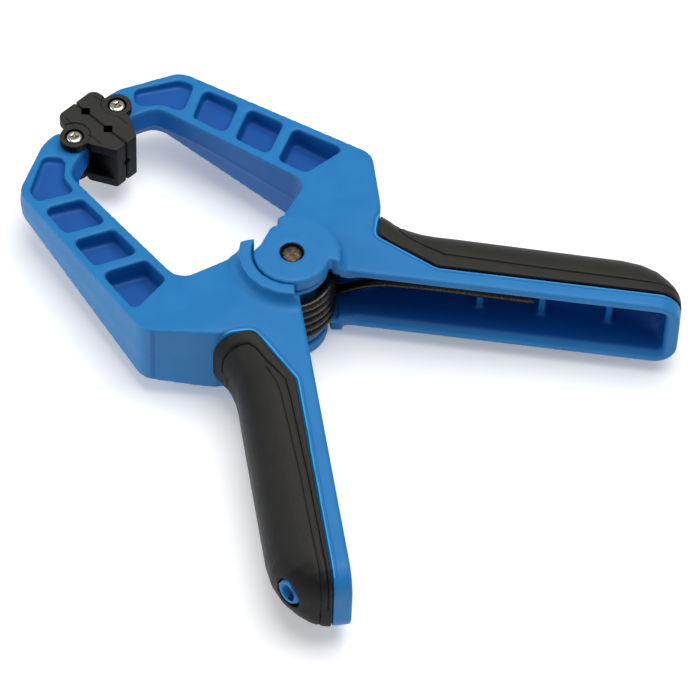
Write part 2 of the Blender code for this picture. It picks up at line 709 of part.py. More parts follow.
def place(name, mesh, parent, matrix):
    made = bpy.data.objects.new(name, mesh)
    bpy.context.collection.objects.link(made)
    made.parent = parent
    made.matrix_local = matrix
    return made


def build():
    clear_scene()
    blue = material("blue_moulding", BLUE, 0.42, 0.0)
    rubber = material("soft_grip", BLACK_RUBBER, 0.62, 0.0)
    black = material("black_pad", BLACK_PLASTIC, 0.5, 0.0)
    nickel = material("nickel_steel", (0.78, 0.77, 0.74), 0.25, 1.0)
    bronze = material("bronzed_steel", (0.21, 0.16, 0.11), 0.45, 1.0)
    wire = material("black_spring_steel", (0.03, 0.03, 0.032), 0.35, 0.8)
    hub = bpy.data.objects.new("hub_frame", None)
    bpy.context.collection.objects.link(hub)
    outer_x = along_handle(HANDLE_LENGTH, HANDLE_INNER)[0]
    middle_x = (outer_x - JAW_REACH - PAD_TIP) / 2
    hub.location = Vector((-middle_x, 0.0, HUB_HALF)) * MM
    arm, grip, pad = arm_mesh(blue), grip_mesh(rubber), pad_mesh(black)
    screw, sleeve = screw_mesh(nickel), sleeve_mesh(nickel)
    upright = Matrix.Identity(4)
    screw_at = Matrix.Translation(Vector((-JAW_REACH, PAD_OFFSET, 0.0)) * MM)
    for side, turn in (("rear", upright), ("front", FLIP)):
        place(f"{side}_arm", arm, hub, turn)
        place(f"{side}_grip", grip, hub, turn)
        place(f"{side}_jaw_pad", pad, hub, turn @ screw_at)
        # Both screws go in from the top, whichever way up the arm is.
        place(f"{side}_pad_screw", screw, hub, turn @ screw_at @ turn)
        place(f"{side}_pad_sleeve", sleeve, hub, turn @ screw_at @ turn)
    place("pivot_rivet", rivet_mesh(bronze), hub, upright)
    spring = spring_object(wire)
    spring.parent = hub
    for obj in bpy.data.objects:
        if obj.type == "MESH":
            obj.data.set_sharp_from_angle(angle=math.radians(32))


build()
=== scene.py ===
"""Spring clamp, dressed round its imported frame.

Both arms are one moulding, so each piece of an arm is made once on the rear (+Y)
side and turned half a turn about the clamp's long axis for the front. Lengths in
the dataclasses are millimetres from the rivet's middle; s runs along a handle and
n across it, outwards.
"""

import json
import logging
import math
from dataclasses import dataclass, field
from enum import Enum
from typing import Any, Optional, Sequence

import bpy
import numpy as np
from mathutils import Matrix, Vector
from mathutils.bvhtree import BVHTree


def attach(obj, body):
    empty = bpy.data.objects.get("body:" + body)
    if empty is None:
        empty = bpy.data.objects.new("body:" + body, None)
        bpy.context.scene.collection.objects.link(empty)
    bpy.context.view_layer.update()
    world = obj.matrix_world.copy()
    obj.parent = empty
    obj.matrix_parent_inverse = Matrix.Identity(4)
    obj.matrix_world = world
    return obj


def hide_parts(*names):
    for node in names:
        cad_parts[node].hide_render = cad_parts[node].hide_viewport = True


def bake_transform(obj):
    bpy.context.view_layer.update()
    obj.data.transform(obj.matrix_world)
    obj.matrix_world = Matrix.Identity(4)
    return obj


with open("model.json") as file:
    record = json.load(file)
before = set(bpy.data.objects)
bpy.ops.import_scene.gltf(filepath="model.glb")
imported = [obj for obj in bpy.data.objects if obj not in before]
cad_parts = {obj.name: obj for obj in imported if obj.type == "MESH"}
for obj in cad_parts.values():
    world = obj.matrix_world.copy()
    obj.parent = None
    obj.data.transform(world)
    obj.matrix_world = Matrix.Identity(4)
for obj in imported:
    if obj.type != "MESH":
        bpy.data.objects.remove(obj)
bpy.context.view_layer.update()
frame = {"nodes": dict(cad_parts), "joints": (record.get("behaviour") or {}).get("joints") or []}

MM = 0.001
FAR = 9.0  # a distance past the reach of any line on the rubber
log = logging.getLogger("clamp")
Pair = tuple[float, float]
Colour = tuple[float, float, float]


class Side(Enum):
    """The two halves of the clamp, by where they stand."""

    REAR = "rear"
    FRONT = "front"

    @property
    def body(self) -> str:
        """The body of the arm on this side."""
        return f"{self.value}_side"

    @property
    def pad_body(self) -> str:
        """The body of the jaw pad on this side."""
        return f"{self.value}_pad"


class Slot(Enum):
    """The record's material slots."""

    BLUE = "blue_moulding"
    GRIP = "soft_grip"
    PAD = "black_pad"
    NICKEL = "nickel_steel"
    BRONZE = "bronzed_steel"
    SPRING = "spring_steel"


def joint_place(name: str) -> Vector:
    """Where a joint's axis passes through the clamp's middle height.

    Args:
        name: the joint's name in the record.

    Returns:
        The point, in metres.
    """
    found = next(j for j in frame["joints"] if j["name"] == name)
    return Vector(found["pos_m"])


@dataclass(frozen=True)
class Plan:
    """The clamp's own directions, shared by every piece."""

    hub: Vector = field(default_factory=lambda: joint_place("jaw_hinge"))
    pad: Vector = field(default_factory=lambda: joint_place("rear_pad_swivel"))
    handle_angle: float = 36.87
    handle_half: float = 15.0
    tip_half: float = 5.1
    jaw_reach: float = 95.0

    def along(self, s: float, n: float) -> Pair:
        """The (x, y) of a point given along and across the handle."""
        a = math.radians(self.handle_angle)
        return s * math.cos(a) - n * math.sin(a), s * math.sin(a) + n * math.cos(a)

    def handle_of(self, points: np.ndarray) -> np.ndarray:
        """Turns flat places into places along and across the handle.

        Args:
            points: points whose first two columns are x and y.

        Returns:
            The (s, n) of each.
        """
        a = math.radians(self.handle_angle)
        turn = np.array([[math.cos(a), -math.sin(a)], [math.sin(a), math.cos(a)]])
        return points[:, :2] @ turn

    def half_height(self, x: np.ndarray) -> np.ndarray:
        """Half the arm's thickness at each x, tapered towards the jaws."""
        taper = (self.handle_half - self.tip_half) / self.jaw_reach
        return self.handle_half + taper * np.minimum(x, 0.0)

    def front_turn(self) -> Matrix:
        """Half a turn about the clamp's long axis, which makes a rear piece a front one."""
        return (
            Matrix.Translation(self.hub)
            @ Matrix.Rotation(math.pi, 4, "X")
            @ Matrix.Translation(-self.hub)
        )


PLAN = Plan()


class Bench:
    """Work with Blender's own modelling tools, on one object at a time."""

    @staticmethod
    def pick(obj: bpy.types.Object) -> None:
        """Selects this object and nothing else.

        Args:
            obj: the object that the next operator works on.
        """
        bpy.ops.object.select_all(action="DESELECT")
        obj.select_set(True)
        bpy.context.view_layer.objects.active = obj

    @staticmethod
    def name(obj: bpy.types.Object, name: str) -> bpy.types.Object:
        """Names an object and its mesh.

        Args:
            obj: the object.
            name: its new name.

        Returns:
            The same object.
        """
        obj.name = name
        obj.data.name = name
        return obj

    @staticmethod
    def modify(obj: bpy.types.Object, kind: str, **settings: Any) -> None:
        """Adds one modifier and applies it.

        Args:
            obj: the mesh object that is changed.
            kind: Blender's name of the modifier.
            settings: its properties.
        """
        Bench.pick(obj)
        modifier = obj.modifiers.new(kind.title(), kind)
        for key, value in settings.items():
            setattr(modifier, key, value)
        bpy.ops.object.modifier_apply(modifier=modifier.name)

    @staticmethod
    def tidy(obj: bpy.types.Object, merge: float = 1e-7) -> None:
        """Merges doubled points and turns every face outwards.

        Args:
            obj: the mesh object.
            merge: how close two points are to become one, in metres.
        """
        Bench.pick(obj)
        bpy.ops.object.mode_set(mode="EDIT")
        bpy.ops.mesh.select_all(action="SELECT")
        bpy.ops.mesh.remove_doubles(threshold=merge)
        bpy.ops.mesh.normals_make_consistent(inside=False)
        bpy.ops.object.mode_set(mode="OBJECT")

    @staticmethod
    def settle(obj: bpy.types.Object) -> None:
        """Moves the object's place, turn and size into its mesh."""
        Bench.pick(obj)
        bpy.ops.object.transform_apply(location=True, rotation=True, scale=True)

    @staticmethod
    def solid_of(node: str, name: str) -> bpy.types.Object:
        """A merged copy of a frame node's mesh, as a new piece.

        Args:
            node: the frame node.
            name: the new piece's name.

        Returns:
            The new object.
        """
        obj = bpy.data.objects.new(name, frame["nodes"][node].data.copy())
        obj.data.name = name
        obj.data.materials.clear()
        bpy.context.scene.collection.objects.link(obj)
        Bench.tidy(obj)
        return obj

    @staticmethod
    def lathe(
        profile: Sequence[Pair], centre: Vector, sides: int = 64
    ) -> bpy.types.Object:
        """A turned solid: a disc extruded and resized from step to step.

        Args:
            profile: (radius, height) steps in millimetres from the centre, low to high.
            centre: the point on the axis that heights are counted from.
            sides: corners of each ring.

        Returns:
            The new object.
        """
        bpy.ops.object.select_all(action="DESELECT")
        radius, height = profile[0]
        bpy.ops.mesh.primitive_circle_add(
            vertices=sides,
            radius=radius * MM,
            fill_type="NGON",
            location=centre + Vector((0, 0, height * MM)),
        )
        obj = bpy.context.active_object
        Bench.settle(obj)
        bpy.ops.object.mode_set(mode="EDIT")
        for wide, high in profile[1:]:
            rise = (0.0, 0.0, (high - height) * MM)
            bpy.ops.mesh.extrude_region_move(TRANSFORM_OT_translate={"value": rise})
            bpy.ops.transform.resize(
                value=(wide / radius, wide / radius, 1.0),
                center_override=centre + Vector((0, 0, high * MM)),
            )
            radius, height = wide, high
        bpy.ops.object.mode_set(mode="OBJECT")
        Bench.tidy(obj)
        return obj

    @staticmethod
    def block(
        size: Sequence[float], centre: Vector, turn: float = 0.0, round_by: float = 0.0
    ) -> bpy.types.Object:
        """A block, turned about the vertical, its upright edges rounded.

        Args:
            size: length, width and height in millimetres.
            centre: its middle.
            turn: degrees about the vertical.
            round_by: radius of its edges in millimetres.

        Returns:
            The new object.
        """
        bpy.ops.object.select_all(action="DESELECT")
        bpy.ops.mesh.primitive_cube_add(
            size=1.0, location=centre, rotation=(0, 0, math.radians(turn))
        )
        obj = bpy.context.active_object
        obj.scale = Vector(size) * MM
        Bench.settle(obj)
        if round_by:
            Bench.modify(obj, "BEVEL", width=round_by * MM, segments=4, limit_method="NONE")
        return obj

    @staticmethod
    def clip(obj: bpy.types.Object, point: Vector, outwards: Vector) -> None:
        """Cuts off what lies beyond a plane and closes the cut.

        Args:
            obj: the mesh object.
            point: a point on the plane.
            outwards: the side that is cut off.
        """
        Bench.pick(obj)
        bpy.ops.object.mode_set(mode="EDIT")
        bpy.ops.mesh.select_all(action="SELECT")
        bpy.ops.mesh.bisect(
            plane_co=point, plane_no=outwards, use_fill=True, clear_outer=True
        )
        bpy.ops.object.mode_set(mode="OBJECT")

    @staticmethod
    def boolean(obj: bpy.types.Object, tool: bpy.types.Object, operation: str) -> None:
        """Cuts or adds one solid and removes it.

        Args:
            obj: the object that stays.
            tool: the solid that is used up.
            operation: DIFFERENCE or UNION.
        """
        Bench.modify(obj, "BOOLEAN", object=tool, operation=operation, solver="EXACT")
        bpy.data.objects.remove(tool)

    @staticmethod
    def join(obj: bpy.types.Object, others: Sequence[bpy.types.Object]) -> None:
        """Makes the others part of this object's mesh.

        Args:
            obj: the object that stays.
            others: the objects that go into it.
        """
        Bench.pick(obj)
        for other in others:
            other.select_set(True)
        bpy.ops.object.join()

    @staticmethod
    def mould(obj: bpy.types.Object, voxel: float, rounds: int) -> None:
        """Turns a sharp solid into a moulded one with soft edges and hollow corners.

        Args:
            obj: a closed solid, or several that overlap.
            voxel: size of the new mesh in millimetres.
            rounds: how far its edges are softened.
        """
        Bench.modify(obj, "REMESH", mode="VOXEL", voxel_size=voxel * MM, adaptivity=0.0)
        Bench.soften(obj, rounds)

    @staticmethod
    def soften(obj: bpy.types.Object, rounds: int) -> None:
        """Evens out the surface over that many rounds."""
        Bench.modify(obj, "SMOOTH", factor=0.5, iterations=rounds)

    @staticmethod
    def thin(obj: bpy.types.Object, most: int) -> None:
        """Thins flat stretches until few enough triangles are left.

        Args:
            obj: the mesh object.
            most: most triangles left.
        """
        have = sum(len(p.vertices) - 2 for p in obj.data.polygons)
        if have > most:
            Bench.modify(obj, "DECIMATE", ratio=most / have)

    @staticmethod
    def shade(obj: bpy.types.Object, degrees: float = 180.0) -> None:
        """Shades smooth, with edges kept sharp above an angle."""
        Bench.pick(obj)
        bpy.ops.object.shade_smooth_by_angle(angle=math.radians(degrees))

    @staticmethod
    def turned_copy(obj: bpy.types.Object, name: str, matrix: Matrix) -> bpy.types.Object:
        """A copy with its own mesh, moved by a matrix.

        Args:
            obj: the object that is copied.
            name: the copy's name.
            matrix: where its mesh goes.

        Returns:
            The copy.
        """
        mesh = obj.data.copy()
        mesh.name = name
        mesh.transform(matrix)
        made = bpy.data.objects.new(name, mesh)
        bpy.context.scene.collection.objects.link(made)
        return made


class Skin:
    """A mesh's points, worked on all together, in millimetres from the rivet's middle."""

    def __init__(self, obj: bpy.types.Object, origin: Optional[Vector] = None) -> None:
        """Reads the points and normals of an object.

        Args:
            obj: the mesh object.
            origin: what the points are counted from, or None for the rivet's middle.
        """
        self.obj = obj
        self.origin = np.array(PLAN.hub if origin is None else origin)
        mesh = obj.data
        self.points = np.empty(len(mesh.vertices) * 3)
        mesh.vertices.foreach_get("co", self.points)
        self.points = (self.points.reshape(-1, 3) - self.origin) / MM
        self.normals = np.empty(len(mesh.vertices) * 3)
        mesh.vertex_normals.foreach_get("vector", self.normals)
        self.normals = self.normals.reshape(-1, 3)

    def push(self, amount: np.ndarray) -> None:
        """Moves each point along its normal, outwards where the amount is above 0."""
        self.points = self.points + self.normals * amount[:, None]

    def store(self) -> None:
        """Writes the points back."""
        moved = (self.points * MM + self.origin).astype(np.float32)
        self.obj.data.vertices.foreach_set("co", moved.ravel())
        self.obj.data.update()

    def paint(self, name: str, values: np.ndarray) -> None:
        """Keeps a number at each point, for a material to read."""
        kept = self.obj.data.attributes.new(name, "FLOAT", "POINT")
        kept.data.foreach_set("value", values.astype(np.float32))

    def roundness(self) -> np.ndarray:
        """How sharply the surface bends.

        Returns:
            A number for each point, above 0 on edges and below 0 in hollows.
        """
        mesh = self.obj.data
        ends = np.empty(len(mesh.edges) * 2, np.int64)
        mesh.edges.foreach_get("vertices", ends)
        a, b = ends.reshape(-1, 2).T
        total = np.zeros(len(self.points))
        count = np.zeros(len(self.points))
        for one, two in ((a, b), (b, a)):
            step = self.points[two] - self.points[one]
            square = np.maximum((step**2).sum(1), 1e-9)
            bend = -2 * (step * self.normals[one]).sum(1) / square
            total += np.bincount(one, bend, len(total))
            count += np.bincount(one, minlength=len(count))
        return total / np.maximum(count, 1)


def reach_of(points: np.ndarray, path: Sequence[Pair]) -> np.ndarray:
    """Signed distance from each flat point to a path, above 0 on its left.

    Args:
        points: (k, 2) points.
        path: the path's corners.

    Returns:
        The distance of each point.
    """
    best = np.full(len(points), 1e9)
    for start, end in zip(path, path[1:]):
        a, step = np.array(start), np.array(end) - np.array(start)
        share = np.clip((points - a) @ step / (step @ step), 0, 1)
        gap = points - a - share[:, None] * step
        away = np.hypot(gap[:, 0], gap[:, 1])
        left = step[0] * (points[:, 1] - a[1]) - step[1] * (points[:, 0] - a[0])
        best = np.where(away < np.abs(best), np.where(left < 0, -away, away), best)
    return best


def near_solid(points: np.ndarray, node: str, chosen: np.ndarray) -> np.ndarray:
    """Distance in millimetres from the chosen points to a frame node's surface.

    Args:
        points: (k, 3) points in millimetres from the rivet's middle.
        node: the frame node.
        chosen: which points are measured; the others get a large distance.

    Returns:
        The distance of each point.
    """
    mesh = frame["nodes"][node].data
    corners = [v.co.copy() for v in mesh.vertices]
    tree = BVHTree.FromPolygons(corners, [tuple(p.vertices) for p in mesh.polygons])
    found = np.full(len(points), 50.0)
    for i in np.flatnonzero(chosen):
        spot = PLAN.hub + Vector(points[i]) * MM
        found[i] = tree.find_nearest(spot)[3] / MM
    return found


class Sock:
    """A node's output, with the arithmetic that the materials use."""

    def __init__(self, graph: "Graph", out: bpy.types.NodeSocket) -> None:
        """Wraps an output socket."""
        self.graph = graph
        self.out = out

    def _with(self, operation: str, a: Any, b: Any) -> "Sock":
        """One Math node."""
        return self.graph.node("ShaderNodeMath", {"operation": operation}, {0: a, 1: b})

    def __add__(self, other: Any) -> "Sock":
        """Sum."""
        return self._with("ADD", self, other)

    __radd__ = __add__

    def __mul__(self, other: Any) -> "Sock":
        """Product."""
        return self._with("MULTIPLY", self, other)

    __rmul__ = __mul__

    def __sub__(self, other: Any) -> "Sock":
        """Difference."""
        return self._with("SUBTRACT", self, other)

    def __rsub__(self, other: Any) -> "Sock":
        """Difference, the other way round."""
        return self._with("SUBTRACT", other, self)

    def __abs__(self) -> "Sock":
        """Size without sign."""
        return self.graph.node("ShaderNodeMath", {"operation": "ABSOLUTE"}, {0: self})

    def ramp(self, low: float, high: float) -> "Sock":
        """A smooth step.

        Args:
            low: where it is still 0; it may be the larger of the two.
            high: where it is 1.

        Returns:
            The step.
        """
        settings = {"interpolation_type": "SMOOTHSTEP", "clamp": True}
        inputs = {"Value": self, "From Min": low, "From Max": high}
        if low > high:
            inputs = {"Value": self, "From Min": high, "From Max": low, "To Min": 1.0, "To Max": 0.0}
        return self.graph.node("ShaderNodeMapRange", settings, inputs)


class Graph:
    """A material's nodes."""

    def __init__(self, name: str) -> None:
        """Starts a material that holds one Principled shader.

        Args:
            name: the material's name.
        """
        self.material = bpy.data.materials.new(name)
        self.material.use_nodes = True
        self.tree = self.material.node_tree
        self.shader = self.tree.nodes["Principled BSDF"]
        self.place = self.node("ShaderNodeTexCoord", {}, {}, "Object")

    def node(
        self,
        kind: str,
        settings: dict[str, Any],
        inputs: dict[Any, Any],
        output: Any = 0,
    ) -> Sock:
        """Adds one node.

        Args:
            kind: Blender's name of the node.
            settings: its properties, set first.
            inputs: a value or a link for each named or numbered socket.
            output: the socket that is handed back.

        Returns:
            The chosen output.
        """
        made = self.tree.nodes.new(kind)
        for key, value in settings.items():
            setattr(made, key, value)
        for key, value in inputs.items():
            if isinstance(value, Sock):
                self.tree.links.new(value.out, made.inputs[key])
            else:
                made.inputs[key].default_value = value
        return Sock(self, made.outputs[output])

    def noise(self, size: float, detail: float = 2.0, rough: float = 0.5, warp: float = 0.0) -> Sock:
        """Cloudy noise.

        Args:
            size: about how many millimetres its features measure.
            detail: how many finer layers it has.
            rough: how strong they are.
            warp: how much it is distorted.

        Returns:
            The noise, about 0.5 on average.
        """
        inputs = {
            "Vector": self.place,
            "Scale": 1.0 / (size * MM),
            "Detail": detail,
            "Roughness": rough,
            "Distortion": warp,
        }
        return self.node("ShaderNodeTexNoise", {}, inputs)

    def specks(self, pitch: float) -> Sock:
        """Distance from scattered points that are about `pitch` millimetres apart."""
        inputs = {"Vector": self.place, "Scale": 1.0 / (pitch * MM)}
        return self.node("ShaderNodeTexVoronoi", {}, inputs, "Distance")

    def kept(self, name: str) -> Sock:
        """A number that the mesh keeps at its points."""
        return self.node("ShaderNodeAttribute", {"attribute_name": name}, {}, "Fac")

    def mix(self, mask: Any, first: Any, second: Any) -> Sock:
        """Mixes two colours.

        Args:
            mask: 0 for the first and 1 for the second.
            first: a colour, or a socket that carries one.
            second: the other.

        Returns:
            The mixed colour.
        """
        inputs: dict[Any, Any] = {0: mask}
        for key, value in ((6, first), (7, second)):
            inputs[key] = value if isinstance(value, Sock) else (*value, 1.0)
        return self.node("ShaderNodeMix", {"data_type": "RGBA"}, inputs, 2)

    def height_bump(self, height: Sock, depth: float) -> Sock:
        """A bumped normal.

        Args:
            height: the relief, from 0 to 1 or more.
            depth: how many millimetres a height of 1 stands for.

        Returns:
            The normal.
        """
        inputs = {"Strength": 1.0, "Distance": depth * MM, "Height": height}
        return self.node("ShaderNodeBump", {}, inputs)

    def set(self, **values: Any) -> None:
        """Sets or links the shader's sockets.

        Args:
            values: a value or a link for each socket; an underscore stands for a space.
        """
        for key, value in values.items():
            socket = self.shader.inputs[key.replace("_", " ")]
            if isinstance(value, Sock):
                self.tree.links.new(value.out, socket)
            elif socket.type == "RGBA":
                socket.default_value = (*value, 1.0)
            else:
                socket.default_value = value


@dataclass(frozen=True)
class BluePlastic:
    """Satin moulded nylon: fine grain, paler rounded edges, painted shade in its recesses, its
    rivet's gap and the groove beside its raised flash line, which is painted bright as a highlight.
    """

    body: Colour = (0.0135, 0.178, 0.445)
    cloudy: Colour = (0.0115, 0.165, 0.425)
    # deep is the painted shade colour of recesses and grooves
    deep: Colour = (0.0012, 0.078, 0.34)
    # black is the painted shadow in the gap round the rivet
    black: Colour = (0.002, 0.004, 0.012)
    pale: Colour = (0.035, 0.24, 0.55)
    # flash_highlight is the painted highlight on the raised flash line
    flash_highlight: Colour = (0.05, 0.42, 0.86)
    roughness: float = 0.40
    grain: float = 0.03
    flash_at: float = 0.85
    flash_half: float = 0.36
    groove_out: float = 0.95
    groove_half: float = 0.4

    def material(self) -> bpy.types.Material:
        """Builds the finish.

        Returns:
            The material.
        """
        g = Graph("blue_moulding")
        grain = g.noise(0.55, 3.0, 0.65)
        fleck = g.specks(0.9).ramp(0.22, 0.05)
        edge = g.kept("edge")
        colour = g.mix(g.noise(14.0, 3.0, 0.6).ramp(0.35, 0.68), self.cloudy, self.body)
        colour = g.mix(fleck * 0.16, colour, self.pale)
        # rounded edges are made paler and a little smoother
        rounded_pale = (edge + grain * 0.5).ramp(0.55, 1.25)
        colour = g.mix(rounded_pale * 0.45, colour, self.pale)
        # painted shade in the jaw's pockets and the handle's channel
        colour = g.mix(g.kept("deep") * 0.92, colour, self.deep)
        # painted shadow in the gap round the rivet
        colour = g.mix(g.kept("grease"), colour, self.black)
        wave = g.noise(6.5, 2.0, 0.5) * 0.5 - 0.25
        away = g.kept("to_grip") + wave - self.flash_at
        line = abs(away).ramp(self.flash_half, self.flash_half * 0.4)
        groove = abs(away - self.groove_out).ramp(self.groove_half, self.groove_half * 0.25)
        broken = g.noise(11.0, 2.0).ramp(0.25, 0.5)
        # painted highlight: the raised flash line is made bright, as if it catches the light
        colour = g.mix(line * (0.35 + 0.6 * broken), colour, self.flash_highlight)
        # painted shade in the groove beside the flash line
        colour = g.mix(groove * 0.45, colour, self.deep)
        rough = self.roughness + 0.16 * g.noise(3.0, 3.0, 0.6) - 0.12 * rounded_pale - 0.12 * line
        height = grain * 0.8 + g.noise(0.16, 1.0) * 0.4 + g.noise(5.0, 2.0) * 2.0
        height = height + line * 5.0 - groove * 3.0
        g.set(
            Base_Color=colour,
            Roughness=rough,
            Specular_IOR_Level=0.26,
            Normal=g.height_bump(height, self.grain),
        )
        return g.material


@dataclass(frozen=True)
class SoftRubber:
    """Matt overmoulded rubber with a fine grain and small pits, its upward faces painted paler as
    light from above, with some dust, and painted shade in its grooves, slits, holes and shaded faces.
    """

    name: str = "soft_grip"
    body: Colour = (0.0085, 0.0085, 0.0092)
    dust_and_light: Colour = (0.034, 0.0325, 0.0275)
    # dark is the colour of painted shade, and of dark flecks in the grain
    dark: Colour = (0.0018, 0.0018, 0.002)
    roughness: float = 0.43
    grain: float = 0.028
    seam_half: float = 0.27

    def material(self) -> bpy.types.Material:
        """Builds the finish.

        Returns:
            The material.
        """
        g = Graph(self.name)
        grain = g.noise(0.4, 3.0, 0.7)
        pits = g.specks(2.6).ramp(0.09, 0.03)
        edge = g.kept("edge")
        flat = g.kept("flat")
        cloud = g.noise(9.0, 4.0, 0.6).ramp(0.3, 0.75)
        # upward faces are painted paler as light from above; the cloudy patches add dust
        colour = g.mix(flat * 0.75 + cloud * 0.12, self.body, self.dust_and_light)
        colour = g.mix((grain - 0.3).ramp(0.15, 0.45) * 0.3, colour, self.dark)
        colour = g.mix((edge + grain * 0.4).ramp(0.5, 1.3) * 0.35, colour, self.dust_and_light)
        seam = abs(g.kept("seam")).ramp(self.seam_half, self.seam_half * 0.3)
        second = abs(g.kept("second")).ramp(self.seam_half * 0.8, self.seam_half * 0.2)
        line = seam + second * 0.8
        colour = g.mix(pits * 0.3, colour, self.dust_and_light)
        colour = g.mix(g.kept("shaded"), colour, self.dark)
        # painted shade in the grooves, slits and holes
        colour = g.mix(line * 0.97, colour, self.dark)
        rough = self.roughness + 0.16 * g.noise(2.5, 3.0, 0.6) + 0.1 * line
        height = grain * 1.2 + g.noise(0.14, 1.0) * 0.5 + pits * 0.8 - line * 9.0
        g.set(
            Base_Color=colour,
            Roughness=rough,
            Specular_IOR_Level=0.12,
            Normal=g.height_bump(height, self.grain),
        )
        return g.material


@dataclass(frozen=True)
class Steel:
    """Bare or plated steel, mottled between two colours."""

    name: str
    light: Colour
    dark: Colour
    roughness: float
    metallic: float
    mottle: float
    relief: float
    recess: Optional[Colour] = None
    recess_top: float = 0.0
    recess_low: float = 0.0

    def material(self) -> bpy.types.Material:
        """Builds the finish.

        Returns:
            The material.
        """
        g = Graph(self.name)
        patches = g.noise(self.mottle, 4.0, 0.65, 0.6)
        fine = g.noise(self.mottle / 6, 3.0, 0.7)
        mask = (patches * 0.7 + fine * 0.3).ramp(0.4, 0.62)
        colour = g.mix(mask, self.dark, self.light)
        rough = self.roughness + 0.22 * fine - 0.12 * mask
        if self.recess is not None:
            place = g.node("ShaderNodeSeparateXYZ", {}, {0: g.place}, "Z")
            low = place.ramp(self.recess_top, self.recess_low)
            colour = g.mix(low, colour, self.recess)
            rough = rough + 0.2 * low
        height = patches + fine * 0.6
        g.set(
            Base_Color=colour,
            Metallic=self.metallic,
            Roughness=rough,
            Normal=g.height_bump(height, self.relief),
        )
        return g.material


